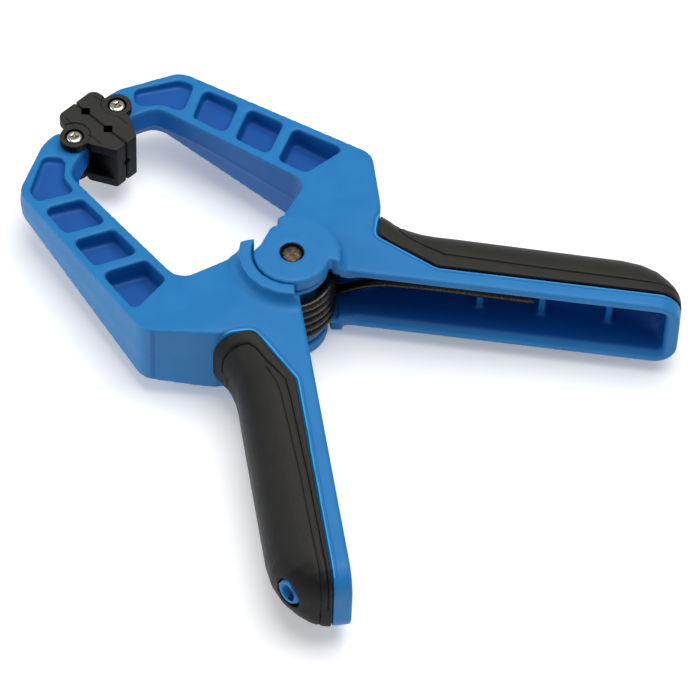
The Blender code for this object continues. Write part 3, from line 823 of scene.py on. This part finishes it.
@dataclass
class Arm:
    """One moulded arm: jaw, hub and handle in one piece."""

    throat: tuple[Pair, ...] = ((-90.6, 13.0), (-86.5, 21.2), (-22.8, 30.4))
    outside: tuple[Pair, ...] = ((-103.4, 17.7), (-92.8, 39.2), (-15.6, 55.1))
    rim_outer: float = 18.0
    rim_foot: float = 3.2
    hub_half: float = 20.9
    throat_edge: tuple[Pair, Pair] = ((-15.2, 5.5), (-22.8, 30.4))
    foot_steps: int = 8
    mouth_depth: float = 2.4
    mouth_wider: float = 1.5
    mouth_round: float = 3.2
    mouth_out: float = 6.0
    channel: Pair = (20.0, 126.6)
    channel_floor: float = 18.6
    rib_face: float = 10.5
    channel_half: float = 10.4
    handle_inner: float = -0.63
    jaw_wall: float = 3.3
    wall_near: float = 2.6
    wall_fade: float = 1.2
    draft: float = 0.5
    ledge: float = 1.9
    ledge_from: float = -58.0
    ledge_length: float = 24.0
    bead: float = 0.25
    bead_half: float = 0.55
    rivet_seat: float = 4.3
    voxel: float = 0.45
    rounds: int = 20
    last_rounds: int = 5
    most: int = 195_000

    def build(self) -> bpy.types.Object:
        """Builds the rear arm.

        Returns:
            The finished arm, not yet dressed.
        """
        arm = Bench.solid_of("rear_arm", "rear_arm_moulding")
        Bench.boolean(arm, self._mouth(), "DIFFERENCE")
        Bench.join(arm, [self._rim_foot()])
        Bench.mould(arm, self.voxel, self.rounds)
        self._draft(arm)
        Bench.soften(arm, self.last_rounds)
        Bench.thin(arm, self.most)
        self._mark(arm)
        Bench.shade(arm)
        return arm

    def _mouth(self) -> bpy.types.Object:
        """The rebate round the mouth of the handle's channel.

        Returns:
            The solid that cuts it.
        """
        low, high = self.channel
        deep = self.mouth_depth + self.mouth_out
        across = self.handle_inner - self.mouth_out + deep / 2
        middle = PLAN.along((low + high + self.mouth_wider) / 2, across)
        centre = PLAN.hub + Vector((*middle, 0.0)) * MM
        size = (high - low + self.mouth_wider, deep, 2 * (self.channel_half + self.mouth_wider))
        return Bench.block(size, centre, PLAN.handle_angle, self.mouth_round)

    def _rim_foot(self) -> bpy.types.Object:
        """The hollow sweep from the rim's outer wall down to the arm's face.

        Returns:
            The solid that is added to the arm.
        """
        face, reach = PLAN.handle_half, self.rim_foot
        inside = self.rim_outer - 1.0
        steps = [(inside, -self.hub_half + 2.0)]
        for i in range(self.foot_steps):
            a = math.radians(90 * i / (self.foot_steps - 1))
            out = self.rim_outer + reach * (1 - math.cos(a))
            steps.append((out, -(face + reach * (1 - math.sin(a)))))
        steps.append((self.rim_outer + reach, -face + 1.5))
        steps.append((inside, -face + 1.6))
        foot = Bench.lathe(steps, PLAN.hub, 96)
        core = [(inside + 0.1, z) for z in (-1.5 * self.hub_half, 0.0)]
        Bench.boolean(foot, Bench.lathe(core, PLAN.hub, 96), "DIFFERENCE")
        a, b = (Vector((*p, 0.0)) for p in self.throat_edge)
        line = (b - a).normalized()
        Bench.clip(foot, PLAN.hub + (a + Vector((0.6, 0, 0))) * MM, Vector((-line.y, line.x, 0)))
        s_end, n_end = PLAN.along(0.0, self.handle_inner + 0.5)
        inwards = Vector((*PLAN.along(0.0, -1.0), 0.0))
        Bench.clip(foot, PLAN.hub + Vector((s_end, n_end, 0.0)) * MM, inwards)
        return foot

    def _draft(self, arm: bpy.types.Object) -> None:
        """Gives the long walls their draft, with the mould's parting bead at mid-height.

        Args:
            arm: the softened arm.
        """
        skin = Skin(arm)
        flat = skin.points[:, :2]
        upright = np.clip(1 - np.abs(skin.normals[:, 2]) * 1.3, 0, 1)
        inside, outer = (
            np.clip((self.wall_near - np.abs(reach_of(flat, wall))) / self.wall_fade, 0, 1)
            for wall in (self.throat, self.outside)
        )
        level = np.abs(skin.points[:, 2]) / PLAN.half_height(skin.points[:, 0])
        tip = np.clip((self.ledge_from - skin.points[:, 0]) / self.ledge_length, 0, 1) ** 2
        bead = np.exp(-((skin.points[:, 2] / self.bead_half) ** 2)) * self.bead
        flare = np.clip(1 - level, 0, 1) ** 1.5
        push = inside * ((self.draft + self.ledge * tip) * flare + bead - 0.1)
        push += outer * (0.8 * self.draft * flare - 0.25)
        skin.push(push * upright)
        skin.store()

    def _mark(self, arm: bpy.types.Object) -> None:
        """Keeps where edges, recesses, the rivet's gap and the grip's border are, for the finish,
        which paints shade into the recesses and the gap.

        Args:
            arm: the finished arm.
        """
        skin = Skin(arm)
        x, z = skin.points[:, 0], np.abs(skin.points[:, 2])
        along = PLAN.handle_of(skin.points)
        # deep: painted shade, stronger the further a point sits below the arm's faces, in the jaw's
        # pockets and the handle's channel
        sunk = np.clip((PLAN.half_height(x) - z - 0.5) / 1.6, 0, 1)
        outer = np.abs(reach_of(skin.points[:, :2], self.outside))
        jaw = sunk * (x < -12) * (outer > self.jaw_wall - 0.6)
        (s, n), across = along.T, PLAN.handle_of(skin.normals)[:, 1]
        low, high = self.channel
        channel = sunk * (s > low - 8) * np.clip(high + 1.0 - s, 0, 1) * (n < self.channel_floor)
        channel *= np.clip(self.channel_half + 1.0 - z, 0, 1)
        channel *= np.clip((n - self.handle_inner) / 3.0, 0.25, 1)
        rib = (np.abs(n - self.rib_face) < 0.7) * np.clip(-across, 0, 1)
        channel *= 1 - 0.7 * rib
        open_side = 0.35 * np.clip(1 - np.abs(skin.normals[:, 2]), 0, 1)
        skin.paint("deep", np.clip(jaw * (1 - open_side) + channel, 0, 1))
        # painted shadow: the arm's seat round the rivet, below its head
        radius = np.hypot(x, skin.points[:, 1])
        seat = (radius < self.rivet_seat) & (z < self.hub_half - 0.35)
        skin.paint("grease", seat.astype(float))
        top = (z > PLAN.handle_half - 2.0) & (z < PLAN.handle_half + 1.0) & (along[:, 0] > 14)
        skin.paint("to_grip", near_solid(skin.points, "rear_grip", top & (along[:, 1] > 1.0)))
        skin.paint("edge", skin.roundness())


@dataclass
class Grip:
    """The soft grip over the outside of a handle."""

    upper: tuple[Pair, ...] = (
        (34.2, 20.3),
        (37.2, 17.4),
        (43.4, 14.1),
        (50.5, 11.2),
        (86.0, 10.3),
        (140.0, 9.6),
    )
    lower: tuple[Pair, ...] = (
        (31.4, 44.0),
        (31.4, 21.9),
        (31.9, 19.2),
        (33.9, 17.2),
        (40.0, 14.2),
        (44.8, 11.2),
        (48.5, 9.2),
        (55.5, 8.7),
        (90.0, 7.7),
        (140.0, 7.2),
    )
    second: tuple[Pair, ...] = (
        (41.5, 15.6),
        (44.2, 14.1),
        (49.5, 12.2),
        (55.0, 11.5),
        (86.0, 10.2),
        (140.0, 9.5),
    )
    collar: tuple[Pair, ...] = ((34.2, 44.0), (34.2, 20.3))
    second_from: float = 42.0
    core: float = 8.0
    groove_depth: float = 0.42
    groove_half: float = 0.38
    collar_step: float = 0.35
    collar_end: float = 32.0
    step_fade: float = 14.0
    voxel: float = 0.37
    rounds: int = 9
    most: int = 195_000

    def build(self) -> bpy.types.Object:
        """Builds the rear grip.

        Returns:
            The finished grip, not yet dressed.
        """
        grip = Bench.solid_of("rear_grip", "rear_grip_cover")
        Bench.mould(grip, self.voxel, self.rounds)
        Bench.thin(grip, self.most)
        skin = Skin(grip)
        along = PLAN.handle_of(skin.points)
        upper = skin.points[:, 2] > 0
        ring = reach_of(along, self.collar)
        top = reach_of(along, self.upper)
        top = np.where(np.abs(ring) < np.abs(top), ring, top)
        seam = np.where(upper, top, reach_of(along, self.lower))
        second = np.where(upper, FAR, reach_of(along, self.second))
        outer = self._outside(skin)
        seam = np.where(outer > 0.02, seam, FAR)
        second = np.where((outer > 0.02) & (along[:, 0] > self.second_from), second, FAR)
        cut = np.exp(-((seam / self.groove_half) ** 2))
        cut += 0.6 * np.exp(-((second / self.groove_half) ** 2))
        past = along[:, 0] - self.collar_end
        step = np.clip(past / 2.0 + 1.0, 0, 1) * np.exp(-((past / self.step_fade) ** 2))
        skin.push(-outer * (self.collar_step * step + self.groove_depth * cut))
        skin.store()
        again = Skin(grip)
        # the grip's grooves, which the finish paints dark as shade
        again.paint("seam", seam)
        again.paint("second", second)
        # upward faces, which the finish paints paler as light from above
        again.paint("flat", np.clip(np.abs(again.normals[:, 2]) * 3.0 - 2.0, 0, 1))
        again.paint("edge", again.roundness() * (1 - np.clip(cut, 0, 1)))
        Bench.shade(grip)
        return grip

    def _outside(self, skin: Skin) -> np.ndarray:
        """Tells the faces that a hand touches from those against the handle.

        Args:
            skin: the grip's points.

        Returns:
            1 on the outer faces, 0 on the inner ones.
        """
        along = PLAN.handle_of(skin.points)
        across = PLAN.handle_of(skin.normals)
        middle = np.column_stack([along[:, 1] - self.core, skin.points[:, 2]])
        facing = middle[:, 0] * across[:, 1] + middle[:, 1] * skin.normals[:, 2]
        facing += 4.0 * np.clip(across[:, 0], 0, 1)
        return np.clip(facing / 2.0, 0, 1)


@dataclass
class JawPad:
    """A swivelling jaw pad about its screw."""

    ear_top: float = 9.05
    ring: Pair = (4.2, 4.6)
    ring_depth: float = 0.25
    slits: tuple[tuple[Pair, Pair], ...] = (
        ((2.9, -3.9), (9.0, -3.8)),
        ((-7.5, -3.2), (-4.6, -3.1)),
    )
    slit_depth: float = 0.3
    slit_half: float = 0.2
    face: float = -10.05
    face_edge: float = 0.55
    edge_depth: float = 0.35
    notches: Pair = (-5.0, 6.1)
    notch: float = 1.9
    half: float = 9.75
    slot_half: float = 6.2
    web: float = 4.6
    edge_line: float = 0.55
    voxel: float = 0.2
    rounds: int = 8
    most: int = 140_000

    def build(self) -> bpy.types.Object:
        """Builds the rear pad.

        Returns:
            The finished pad, not yet dressed.
        """
        pad = Bench.solid_of("rear_jaw_pad", "rear_pad_moulding")
        for side in (1, -1):
            Bench.boolean(pad, self._ring(side), "DIFFERENCE")
        Bench.mould(pad, self.voxel, self.rounds)
        Bench.thin(pad, self.most)
        skin = Skin(pad, PLAN.pad)
        flat = skin.points[:, :2]
        up = np.clip(np.abs(skin.normals[:, 2]) * 2 - 0.8, 0, 1)
        top = up * (np.abs(skin.points[:, 2]) > self.half - 0.9)
        slit = np.full(len(flat), FAR)
        for path in self.slits:
            away = reach_of(flat, path)
            slit = np.where(np.abs(away) < np.abs(slit), away, slit)
        slit = np.where(top > 0.1, slit, FAR)
        to_face = skin.points[:, 1] - self.face
        skin.push(-self.slit_depth * np.exp(-((slit / self.slit_half) ** 2)) * top)
        skin.push(-self.edge_depth * np.exp(-((to_face / self.face_edge) ** 2)) * top)
        skin.store()
        again = Skin(pad, PLAN.pad)
        depth = self.half - np.abs(again.points[:, 2])
        nearest = np.minimum(*(np.abs(flat[:, 0] - u) for u in self.notches))
        hole = (nearest < self.notch + 0.4) & (to_face < self.notch + 0.3)
        hole &= (to_face > 0.02) & (depth > 0.5)
        # the slits, the notches' holes and the line along the face, which the finish paints dark as
        # shade
        again.paint("seam", np.where(hole, 0.0, slit * 2.2))
        again.paint("second", np.where(top > 0.3, to_face * self.edge_line, FAR))
        # the top's upward faces, which the finish paints paler as light from above
        again.paint("flat", top)
        side = np.clip(1.4 - 2 * np.abs(again.normals[:, 2]), 0, 1)
        inside = (np.abs(again.points[:, 2]) < self.slot_half) & (to_face > self.web)
        again.paint("shaded", np.where(inside, 1.0, side))
        again.paint("edge", again.roundness() * 0.5)
        Bench.shade(pad)
        return pad

    def _ring(self, side: int) -> bpy.types.Object:
        """The ring groove in the flat of an ear.

        Args:
            side: 1 for the upper ear and -1 for the lower.

        Returns:
            The solid that cuts it.
        """
        low, high = self.ear_top - self.ring_depth, self.ear_top + 3.0
        span = sorted((side * low, side * high))
        ring = Bench.lathe([(self.ring[1], z) for z in span], PLAN.pad)
        core = Bench.lathe([(self.ring[0], span[0] - 1), (self.ring[0], span[1] + 1)], PLAN.pad)
        Bench.boolean(ring, core, "DIFFERENCE")
        return ring


@dataclass
class PadScrew:
    """A pan-head screw with a cross recess."""

    head: float = 2.8
    seat: float = 7.75
    top: float = 8.95
    shank: float = 1.4
    low: float = -6.85
    recess: float = 1.55
    recess_wide: float = 0.62
    recess_depth: float = 1.0
    recess_turn: float = 20.0
    pit: tuple[Pair, ...] = ((0.35, -1.25), (0.75, -0.5), (0.95, 0.5))

    def build(self) -> bpy.types.Object:
        """Builds the rear screw, head up.

        Returns:
            The finished screw, not yet dressed.
        """
        rise = self.top - self.seat
        profile = [(self.shank * 0.6, self.low), (self.shank, self.low + 0.6)]
        profile += [(self.shank, self.seat), (self.head - 0.15, self.seat)]
        profile += [(self.head, self.seat + 0.2)]
        for share, height in ((1.0, 0.45), (0.93, 0.75), (0.78, 0.93), (0.6, 1.0)):
            profile.append((self.head * share, self.seat + rise * height))
        screw = Bench.lathe(profile, PLAN.pad, 72)
        for turn in (self.recess_turn, self.recess_turn + 90):
            centre = PLAN.pad + Vector((0, 0, self.top)) * MM
            size = (2 * self.recess, self.recess_wide, 2 * self.recess_depth)
            Bench.boolean(screw, Bench.block(size, centre, turn), "DIFFERENCE")
        pit = Bench.lathe([(r, self.top + z) for r, z in self.pit], PLAN.pad, 24)
        Bench.boolean(screw, pit, "DIFFERENCE")
        Bench.tidy(screw, 2e-6)
        Bench.modify(screw, "BEVEL", width=0.00008, segments=2, limit_method="ANGLE", angle_limit=0.7)
        Bench.name(screw, "rear_screw_cross_head")
        Bench.shade(screw, 35)
        return screw


@dataclass
class Rivet:
    """The pivot rivet, with a domed, hammered head at each end."""

    shank: float = 2.7
    head: float = 3.45
    end: float = 20.0
    seat: float = 17.8

    def build(self) -> bpy.types.Object:
        """Builds the rivet.

        Returns:
            The finished rivet, not yet dressed.
        """
        top = [(self.head, self.seat), (self.head, self.end - 0.75)]
        for share, down in ((0.97, 0.5), (0.9, 0.28), (0.75, 0.12), (0.5, 0.03), (0.2, 0.0)):
            top.append((self.head * share, self.end - down))
        profile = [(r, -z) for r, z in reversed(top)]
        profile += [(self.shank, -self.seat), (self.shank, self.seat)] + top
        rivet = Bench.lathe(profile, PLAN.hub, 80)
        Bench.name(rivet, "hammered_rivet")
        Bench.shade(rivet, 50)
        return rivet


@dataclass
class Spring:
    """The torsion spring: a coil that winds up between the arms, and a leg along each handle."""

    wire: float = 1.8
    coil: float = 13.5
    pitch: float = 3.7
    turns: int = 5
    leave: float = 20.0
    leg_end: float = 82.0
    leg_depth: float = 8.7
    rise: tuple[Pair, ...] = (
        (9.0, 0.9),
        (12.0, 0.83),
        (16.0, 0.72),
        (21.0, 0.42),
        (28.0, 0.1),
        (36.0, 0.0),
    )
    steps_per_turn: int = 40

    def _ends(self) -> tuple[float, float, float]:
        """Where the coil starts and how far it goes.

        Returns:
            Its start angle and its sweep in radians, and its half height.
        """
        start = math.radians(PLAN.handle_angle + 90 - self.leave)
        sweep = 2 * math.pi * (self.turns + 1) - 2 * start
        return start, sweep, self.pitch * sweep / (4 * math.pi)

    def _coil_path(self) -> list[Vector]:
        """The coil's centre line.

        Returns:
            Its points, bottom to top.
        """
        start, sweep, top = self._ends()
        steps = round(sweep / (2 * math.pi) * self.steps_per_turn)
        path = []
        for i in range(steps + 1):
            a = start + sweep * i / steps
            z = -top + 2 * top * i / steps
            path.append(Vector((self.coil * math.cos(a), self.coil * math.sin(a), z)))
        return path

    def _leg_path(self) -> list[Vector]:
        """The rear leg's centre line.

        Returns:
            Its points, from the coil's foot to the leg's tip in the handle.
        """
        top = self._ends()[2]
        leave = math.radians(self.leave)
        s0, n0 = self.coil * math.sin(leave), self.coil * math.cos(leave)
        path = [self._coil_path()[0]]
        for s, share in self.rise:
            n = max(n0 - (s - s0) * math.tan(leave), self.leg_depth)
            path.append(Vector((*PLAN.along(s, n), -top * share)))
        path.append(Vector((*PLAN.along(self.leg_end, self.leg_depth), 0.0)))
        return path

    def _tube(self, name: str, path: Sequence[Vector], smooth: bool) -> bpy.types.Object:
        """A round wire along a path, as a mesh.

        Args:
            name: the wire's name.
            path: its centre line.
            smooth: whether it bends smoothly between the points.

        Returns:
            The wire.
        """
        bpy.ops.object.select_all(action="DESELECT")
        bpy.ops.curve.primitive_nurbs_path_add(location=(0, 0, 0))
        wire = bpy.context.active_object
        wire.data.splines.clear()
        line = wire.data.splines.new("BEZIER" if smooth else "POLY")
        wire.data.dimensions = "3D"
        wire.data.bevel_depth = self.wire * MM
        wire.data.bevel_resolution = 6
        wire.data.use_fill_caps = True
        wire.data.resolution_u = 10
        if smooth:
            line.bezier_points.add(len(path) - 1)
            for spot, point in zip(line.bezier_points, path):
                spot.co = PLAN.hub + point * MM
                spot.handle_left_type = spot.handle_right_type = "AUTO"
        else:
            line.points.add(len(path) - 1)
            for spot, point in zip(line.points, path):
                spot.co = (*(PLAN.hub + point * MM), 1.0)
        Bench.pick(wire)
        bpy.ops.object.convert(target="MESH")
        wire = bpy.context.active_object
        Bench.tidy(wire, 1e-6)
        Bench.name(wire, name)
        Bench.shade(wire, 50)
        return wire

    def build(self) -> dict[str, bpy.types.Object]:
        """Builds the coil and the two legs.

        Returns:
            The pieces by name.
        """
        leg = self._tube("spring_leg_rear", self._leg_path(), True)
        front = Bench.turned_copy(leg, "spring_leg_front", PLAN.front_turn())
        coil = self._tube("spring_coil", self._coil_path(), False)
        return {"coil": coil, "rear": leg, "front": front}

    def blend(self, coil: bpy.types.Object) -> None:
        """Moves the coil's place into its mesh.

        Args:
            coil: the coil.
        """
        reach = self._ends()[2] - self.wire
        low = PLAN.hub + Vector((0, 0, -reach)) * MM
        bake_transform(coil)


@dataclass
class Studio:
    """The camera, the pale floor and the soft light."""

    azimuth: float = 42.331
    elevation: float = 52.181
    roll: float = 2.509
    focal: float = 4722.6 / 700 * 36
    distance: float = 1.5816
    aim: tuple[float, float, float] = (0.03182, -0.00399, 0.0)
    sky: Colour = (0.93, 0.96, 1.0)
    sky_strength: float = 0.33

    def camera(self) -> None:
        """Sets up the camera."""
        a, e, r = (math.radians(v) for v in (self.azimuth, self.elevation, self.roll))
        back = Vector((math.sin(a) * math.cos(e), -math.cos(a) * math.cos(e), math.sin(e)))
        right = Vector((math.cos(a), math.sin(a), 0.0))
        up = back.cross(right)
        x = right * math.cos(r) + up * math.sin(r)
        y = up * math.cos(r) - right * math.sin(r)
        turn = Matrix((x, y, back)).transposed().to_4x4()
        bpy.ops.object.camera_add()
        camera = bpy.context.active_object
        camera.name = "camera"
        place = PLAN.hub + Vector(self.aim) + back * self.distance
        camera.matrix_world = Matrix.Translation(place) @ turn
        camera.data.sensor_width = 36
        camera.data.lens = self.focal
        camera.data.clip_start = 0.05
        bpy.context.scene.camera = camera

    def _lamp(self, name: str, place: Sequence[float], size: float, power: float) -> None:
        """A soft square light aimed at the clamp.

        Args:
            name: the lamp's name.
            place: where it hangs.
            size: its side in metres.
            power: its power in watts.
        """
        bpy.ops.object.light_add(type="AREA", location=place)
        lamp = bpy.context.active_object
        lamp.name = name
        lamp.data.shape = "SQUARE"
        lamp.data.size = size
        lamp.data.energy = power
        aim = Vector(place) - PLAN.hub
        lamp.rotation_euler = aim.to_track_quat("Z", "Y").to_euler()

    def light(self) -> None:
        """Hangs the soft lights and whitens the surroundings."""
        self._lamp("overhead", (0.05, 0.2, 1.2), 1.0, 13.5)
        self._lamp("left_fill", (-0.75, -0.75, 0.45), 0.7, 4.0)
        world = bpy.data.worlds.new("studio")
        world.use_nodes = True
        background = world.node_tree.nodes["Background"]
        background.inputs["Color"].default_value = (*self.sky, 1.0)
        background.inputs["Strength"].default_value = self.sky_strength
        bpy.context.scene.world = world
        bpy.context.scene.view_settings.view_transform = "Standard"

    def floor(self) -> None:
        """Lays the pale floor."""
        bpy.ops.mesh.primitive_plane_add(size=6.0, location=(0, 0, -0.0002))
        floor = bpy.context.active_object
        floor.name = "floor"
        g = Graph("pale_floor")
        shade = g.noise(400.0, 1.0)
        colour = g.mix(shade, (0.90, 0.90, 0.90), (0.92, 0.92, 0.92))
        g.set(
            Base_Color=colour,
            Roughness=0.9,
            Specular_IOR_Level=0.1,
            Emission_Color=(0.98, 0.99, 1.0),
            Emission_Strength=0.25,
        )
        floor.data.materials.append(g.material)


class Clamp:
    """The whole clamp, put together from its pieces."""

    def __init__(self) -> None:
        """Makes the materials."""
        self.blue = BluePlastic().material()
        self.rubber = SoftRubber().material()
        self.pad_black = SoftRubber(
            name="black_pad",
            body=(0.011, 0.0107, 0.0105),
            dust_and_light=(0.040, 0.0385, 0.0315),
            roughness=0.40,
            grain=0.018,
        ).material()
        top = PLAN.hub.z + 8.6 * MM
        self.nickel = Steel(
            "nickel_steel",
            light=(0.80, 0.79, 0.75),
            dark=(0.60, 0.59, 0.55),
            roughness=0.16,
            metallic=1.0,
            mottle=1.2,
            relief=0.004,
            recess=(0.28, 0.22, 0.11),
            recess_top=top,
            recess_low=top - 0.0002,
        ).material()
        self.plated = Steel(
            "plated_sleeve", (0.78, 0.77, 0.74), (0.55, 0.54, 0.5), 0.22, 1.0, 1.5, 0.004
        ).material()
        self.bronze = Steel(
            "bronzed_steel", (0.16, 0.115, 0.09), (0.035, 0.024, 0.02), 0.36, 0.85, 1.1, 0.12
        ).material()
        self.wire = Steel(
            "spring_steel", (0.050, 0.043, 0.037), (0.016, 0.014, 0.014), 0.20, 0.8, 1.1, 0.006
        ).material()

    def fit(
        self,
        piece: bpy.types.Object,
        material: bpy.types.Material,
        slot: Slot,
        body: Optional[str],
        *nodes: str,
    ) -> None:
        """Dresses a piece and puts it on its body.

        Args:
            piece: the finished piece.
            material: its finish.
            slot: the record's slot for it; not used.
            body: the body it rides on, or None for a piece put on no body, such as the coil between
                the arms.
            nodes: the frame nodes that it stands for.
        """
        piece.data.materials.clear()
        piece.data.materials.append(material)
        if nodes:
            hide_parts(*nodes)
        if body:
            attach(piece, body)
        log.info("%s: %d faces on %s", piece.name, len(piece.data.polygons), body)

    def pair(
        self,
        piece: bpy.types.Object,
        material: bpy.types.Material,
        slot: Slot,
        stem: str,
        on_pad: bool = False,
    ) -> None:
        """Fits a rear piece and its front copy.

        Args:
            piece: the finished rear piece.
            material: its finish.
            slot: the record's slot for it.
            stem: the end of the frame nodes' names.
            on_pad: whether it rides with the jaw pad.
        """
        front_name = piece.name.replace("rear", "front")
        front = Bench.turned_copy(piece, front_name, PLAN.front_turn())
        for side, made in ((Side.REAR, piece), (Side.FRONT, front)):
            body = side.pad_body if on_pad else side.body
            self.fit(made, material, slot, body, f"{side.value}_{stem}")

    def screws(self) -> None:
        """Fits both pad screws, heads up, and dresses the sleeves they go into."""
        rear = PadScrew().build()
        across = Matrix.Translation((0.0, -2 * PLAN.pad.y, 0.0))
        spin = (
            Matrix.Translation(PLAN.pad)
            @ Matrix.Rotation(math.radians(25), 4, "Z")
            @ Matrix.Translation(-PLAN.pad)
        )
        front = Bench.turned_copy(rear, "front_screw_cross_head", across @ spin)
        self.fit(rear, self.nickel, Slot.NICKEL, Side.REAR.body, "rear_pad_screw")
        self.fit(front, self.nickel, Slot.NICKEL, Side.FRONT.body, "front_pad_screw")
        for side in Side:
            sleeve = frame["nodes"][f"{side.value}_pad_sleeve"]
            sleeve.data.materials.clear()
            sleeve.data.materials.append(self.plated)

    def build(self) -> None:
        """Builds every piece."""
        self.pair(Arm().build(), self.blue, Slot.BLUE, "arm")
        self.pair(Grip().build(), self.rubber, Slot.GRIP, "grip")
        self.pair(JawPad().build(), self.pad_black, Slot.PAD, "jaw_pad", on_pad=True)
        self.screws()
        self.fit(Rivet().build(), self.bronze, Slot.BRONZE, Side.FRONT.body, "pivot_rivet")
        spring = Spring()
        wires = spring.build()
        self.fit(wires["front"], self.wire, Slot.SPRING, Side.FRONT.body)
        self.fit(wires["rear"], self.wire, Slot.SPRING, Side.REAR.body)
        self.fit(wires["coil"], self.wire, Slot.SPRING, None, "torsion_spring")
        spring.blend(wires["coil"])


def main() -> None:
    """Builds the clamp and its studio."""
    logging.basicConfig(level=logging.INFO, format="%(message)s")
    studio = Studio()
    studio.camera()
    Clamp().build()
    studio.light()
    studio.floor()


if __name__ == "__main__":
    main()
